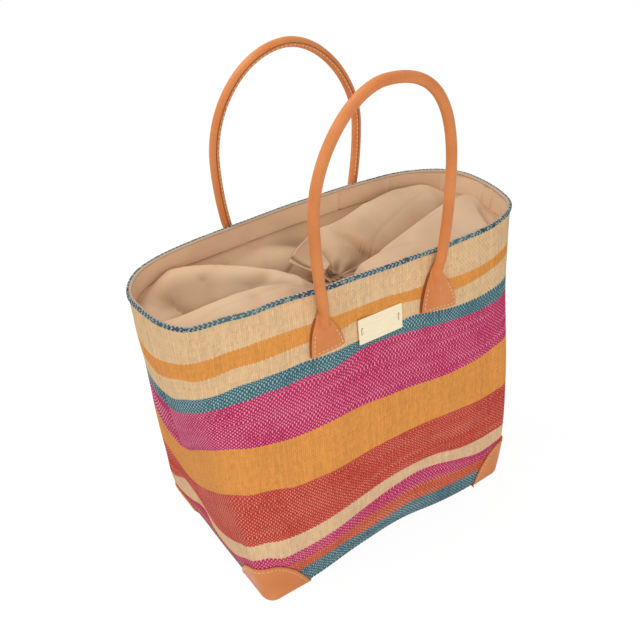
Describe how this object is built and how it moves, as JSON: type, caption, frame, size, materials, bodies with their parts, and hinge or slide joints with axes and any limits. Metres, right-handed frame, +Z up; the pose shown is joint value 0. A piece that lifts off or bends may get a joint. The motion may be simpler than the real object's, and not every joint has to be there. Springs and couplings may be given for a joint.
{
  "type": "tote bag",
  "caption": "Woven raffia tote bag with striped walls, a gathered cotton closure, leather corner patches and rolled leather loop handles that fold outwards.",
  "frame": {"origin": "middle of the footprint on the ground, at the undersides of the corner patches", "axes": "+Z up through the handles, +Y from the front face to the back face, +X along the bag's width"},
  "size_m": [0.3786, 0.1938, 0.4719],
  "materials": {
    "raffia": "striped plain weave of dyed and natural raffia, matte",
    "binding": "two-tone whipped edge, matte",
    "cotton": "plain cotton, soft and slightly creased",
    "leather": "smooth tan leather, satin",
    "cord_core": "twisted cotton cord, matte",
    "plate_metal": "pale gold, brushed satin, bare"
  },
  "bodies": {
    "bag": {"raffia_front_panel": "raffia", "raffia_back_panel": "raffia", "raffia_base_panel": "raffia", "rim_binding": "binding", "rim_facing": "cotton", "lining_front_wall": "cotton", "lining_back_wall": "cotton", "lining_floor": "cotton", "closure_front_half": "cotton", "closure_back_half": "cotton", "closure_ruffle": "cotton", "corner_patch_front_left": "leather", "corner_patch_front_right": "leather", "corner_patch_back_left": "leather", "corner_patch_back_right": "leather", "handle_tab_front_left": "leather", "handle_tab_front_right": "leather", "handle_tab_back_left": "leather", "handle_tab_back_right": "leather", "tab_backing_front_left": "leather", "tab_backing_front_right": "leather", "tab_backing_back_left": "leather", "tab_backing_back_right": "leather", "metal_plate": "plate_metal", "plate_prong_left": "plate_metal", "plate_prong_right": "plate_metal"},
    "handle_front": {"handle_cover_front": "leather", "handle_core_front": "cord_core"},
    "handle_back": {"handle_cover_back": "leather", "handle_core_back": "cord_core"}
  },
  "joints": [
    {"name": "front_handle_fold", "type": "hinge", "parent": "bag", "child": "handle_front", "pos_m": [-0.006, -0.08432, 0.283], "axis": [1, 0, 0], "range_deg": [-6, 135]},
    {"name": "back_handle_fold", "type": "hinge", "parent": "bag", "child": "handle_back", "pos_m": [0.011, 0.08417, 0.283], "axis": [-1, 0, 0], "range_deg": [-6, 135]}
  ]
}
